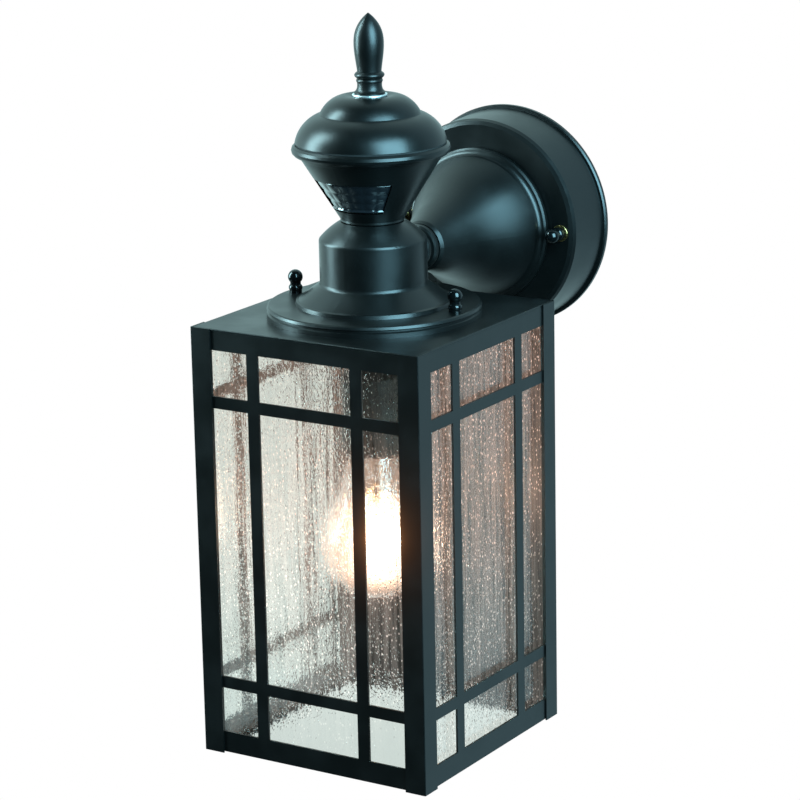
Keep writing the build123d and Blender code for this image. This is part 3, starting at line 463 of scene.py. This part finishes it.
finish = {
    "black_coat": coated("black_coat", (0.0022, 0.0027, 0.0027), 0.33),
    "black_gloss": coated("black_gloss", (0.0020, 0.0030, 0.0034), 0.16, 0.0016, 0.000004, 0.03),
    "zinc_steel": metal("zinc_steel", (0.52, 0.54, 0.56), 0.34),
    "brass": metal("brass", (0.80, 0.56, 0.22), 0.26, (1, 1, 1), 0.35),
    "ground_green": metal("ground_green", (0.06, 0.33, 0.12), 0.35, (1, 1, 1)),
    "aluminium_cap": metal("aluminium_cap", (0.72, 0.72, 0.70), 0.30, (0.05, 0.05, 1)),
    "bright_steel": metal("bright_steel", (0.92, 0.95, 0.95), 0.42, (1, 1, 1), 0.05),
    "bulb_frosted_glass": lit_bulb(),
    "stem_glass": thin_glass("stem_glass", (0.95, 0.92, 0.88), 0.0001, 400.0),
    "glowing_wire": glowing_wire(),
    "seeded_glass": seeded_glass(),
    "lens_plastic": moulded("lens_plastic", (0.010, 0.012, 0.015), 0.14, 0.0006, 0.000004, 1.0),
    "gasket_rubber": moulded("gasket_rubber", (0.015, 0.015, 0.015), 0.75, 0.0005, 0.00004),
    "lampholder_ceramic": moulded("lampholder_ceramic", (0.020, 0.014, 0.011), 0.30, 0.0012, 0.00001, 0.3),
    "board_green": circuit_board(),
    "relay_blue": moulded("relay_blue", (0.04, 0.14, 0.40), 0.40),
    "capacitor_sleeve": moulded("capacitor_sleeve", (0.03, 0.03, 0.08), 0.25),
    "detector_can": metal("detector_can", (0.66, 0.65, 0.62), 0.28, (1, 1, 1)),
    "control_black": moulded("control_black", (0.02, 0.02, 0.02), 0.5),
    "control_white": moulded("control_white", (0.78, 0.78, 0.75), 0.42),
}

slot_of = {row["node"]: row["material_slot"] for row in frame["record"]["subparts"]}
for name, node in nodes.items():
    node.data.materials.clear()
    node.data.materials.append(finish[slot_of[name]])


# ---------------------------------------------------------------- sensor lens
cone_slope = 0.625  # the head's cone widens by this for each unit of height
lens_recess = 1.0 * MM
lens_sheet = 1.1 * MM
lens_foot_share = 15.0 / 23.9  # width of the lens's foot against its top
facet_columns, facet_rows = 7, 3
facet_crown = 0.40 * MM
sill_middle = 0.045  # share of the lens's height, and the sill reaches as far above it as below
steps_across, steps_up = 8, 10  # faces in one facet


def lens_point(low, high, across, rise):
    """Point on the lens's outer skin; across runs from -1 to 1 and rise from 0 to 1."""
    top_radius = cage_middle.y - low.y
    radius = top_radius - (1 - rise) * (high.z - low.z) * cone_slope
    half_width = (high.x - low.x) / 2 * (lens_foot_share + (1 - lens_foot_share) * rise)
    angle = across * math.asin(min(half_width / radius, 1))
    column = (across + 1) / 2 * facet_columns % 1
    row = rise * facet_rows % 1
    crown = 16 * column * (1 - column) * row * (1 - row)
    lip = max(0.0, 1 - ((rise - sill_middle) / sill_middle) ** 2) ** 0.5
    radius += max((crown - 1) * facet_crown, lip * lens_recess - facet_crown * (1 - lip))
    return Vector((math.sin(angle) * radius, cage_middle.y - math.cos(angle) * radius,
                   low.z + (high.z - low.z) * rise))


def facet_lens():
    """Moulded lens: rows of small crowned facets over a rounded sill, on a thin curved shell."""
    low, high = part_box("sensor_lens")
    columns, rows = facet_columns * steps_across, facet_rows * steps_up
    mesh = bmesh.new()
    grid = [
        [mesh.verts.new(lens_point(low, high, 2 * i / columns - 1, j / rows)) for i in range(columns + 1)]
        for j in range(rows + 1)
    ]
    for j in range(rows):
        for i in range(columns):
            mesh.faces.new((grid[j][i], grid[j][i + 1], grid[j + 1][i + 1], grid[j + 1][i]))
    data = bpy.data.meshes.new("facet_lens")
    mesh.to_mesh(data)
    mesh.free()
    for face in data.polygons:
        face.use_smooth = True
    lens = bpy.data.objects.new("facet_lens", data)
    scene.collection.objects.link(lens)
    shell = lens.modifiers.new("shell", "SOLIDIFY")
    shell.thickness = lens_sheet
    shell.offset = -1.0
    data.materials.append(finish["lens_plastic"])
    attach(lens, "lantern")
    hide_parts("sensor_lens")


facet_lens()


# ---------------------------------------------------------------- room and light
def white_room():
    """White to the camera, bright behind the lantern and dim in front of it for everything else."""
    bright_side = (-0.30, 0.95, 0.08)
    front_shade, through_glass = (0.012, 0.018, 0.020, 1), (0.69, 0.76, 0.73, 1)
    mirrored_left, mirrored_right = (0.66, 1.02, 1.04, 1), (0.36, 0.62, 0.72, 1)
    world = bpy.data.worlds.new("white_room")
    world.use_nodes = True
    scene.world = world
    tree = world.node_tree
    background = tree.nodes["Background"]
    outward = add(tree, "ShaderNodeTexCoord").outputs["Generated"]
    behind = add(tree, "ShaderNodeVectorMath", {0: outward, 1: bright_side}, operation="DOT_PRODUCT")
    shade = ramp(tree, behind.outputs["Value"], -0.05, 0.55)
    path = add(tree, "ShaderNodeLightPath")
    side = ramp(tree, add(tree, "ShaderNodeSeparateXYZ", {"Vector": outward}).outputs["X"], -0.6, 0.6)
    mirrored = blend(tree, side, mirrored_left, mirrored_right)
    backdrop = blend(tree, path.outputs["Is Transmission Ray"], mirrored, through_glass)
    studio = blend(tree, shade, front_shade, backdrop)
    seen = blend(tree, path.outputs["Is Camera Ray"], studio, (1, 1, 1, 1))
    tree.links.new(seen, background.inputs["Color"])


def pale_floor():
    """Pale floor, seen from above. It is clear to other rays, which meet the room's own shade below it."""
    spread = 6.0
    drop = 0.35  # from the cage's foot to the floor
    low = cad_low.z - drop
    corners = [(x * spread, y * spread, low) for x, y in ((-1, -1), (1, -1), (1, 1), (-1, 1))]
    mesh = bpy.data.meshes.new("floor")
    mesh.from_pydata(corners, [], [(0, 1, 2, 3)])
    floor = bpy.data.objects.new("floor", mesh)
    scene.collection.objects.link(floor)
    material, tree, shader = new_material("pale_floor")
    tree.nodes.remove(shader)
    path = add(tree, "ShaderNodeLightPath")
    seen = add(tree, "ShaderNodeEmission", {"Color": (1, 1, 1, 1), "Strength": 1.0})
    clear = add(tree, "ShaderNodeBsdfTransparent")
    above = maths(tree, "SUBTRACT", 1.0, add(tree, "ShaderNodeNewGeometry").outputs["Backfacing"])
    shown = maths(tree, "MULTIPLY", path.outputs["Is Camera Ray"], above)
    mix = add(tree, "ShaderNodeMixShader", {0: shown, 1: clear.outputs[0], 2: seen.outputs[0]})
    tree.links.new(mix.outputs[0], tree.nodes["Material Output"].inputs["Surface"])
    mesh.materials.append(material)


softbox_focus = Vector((0, -0.12, 0.02))
softbox_distance = 1.5


def softbox(name, azimuth, elevation, size, power, colour):
    """Rectangular light that faces the lantern."""
    light = bpy.data.lights.new(name, "AREA")
    light.shape = "RECTANGLE"
    light.size, light.size_y = size
    light.energy = power
    light.color = colour
    box = bpy.data.objects.new(name, light)
    towards = direction(math.radians(azimuth), math.radians(elevation))
    box.location = softbox_focus + towards * softbox_distance
    box.rotation_euler = towards.to_track_quat("Z", "Y").to_euler()
    scene.collection.objects.link(box)


def lamp_light():
    """Warm light of the bulb. It stays off the bulb's own pieces."""
    light = bpy.data.lights.new("lamp_light", "POINT")
    light.energy = 2.6
    light.color = (1.0, 0.56, 0.36)
    light.shadow_soft_size = 6.0 * MM
    lamp = bpy.data.objects.new("lamp_light", light)
    lamp.location = lamp_place
    lamp.visible_transmission = False
    lamp.visible_glossy = False
    scene.collection.objects.link(lamp)
    shaded = bpy.data.collections.new("not_lit_by_lamp")
    lamp.light_linking.receiver_collection = shaded
    for name in ("bulb_glass", "bulb_cap", "bulb_stem", "filament"):
        shaded.objects.link(nodes[name])
    for member in shaded.collection_objects:
        member.light_linking.link_state = "EXCLUDE"


def lens_glow():
    """Soft halo round the lit bulb. Plain white is below its threshold."""
    halo = {"Threshold": 1.8, "Strength": 0.30, "Saturation": 1.4, "Size": 0.35,
            "Tint": (1.0, 0.62, 0.42, 1.0)}
    scene.use_nodes = True
    tree = scene.node_tree
    layers = next(node for node in tree.nodes if node.bl_idname == "CompositorNodeRLayers")
    composite = next(node for node in tree.nodes if node.bl_idname == "CompositorNodeComposite")
    glare = add(tree, "CompositorNodeGlare", glare_type="BLOOM", quality="HIGH")
    for name, value in halo.items():
        glare.inputs[name].default_value = value
    tree.links.new(layers.outputs["Image"], glare.inputs["Image"])
    tree.links.new(glare.outputs["Image"], composite.inputs["Image"])


white_room()
pale_floor()
softbox("right_softbox", 65, 24, (1.05, 1.5), 80, (0.38, 0.82, 1.0))
softbox("left_softbox", -67, 18, (0.42, 1.6), 52, (0.57, 0.93, 1.0))
lamp_light()
lens_glow()
scene.view_settings.view_transform = "Standard"
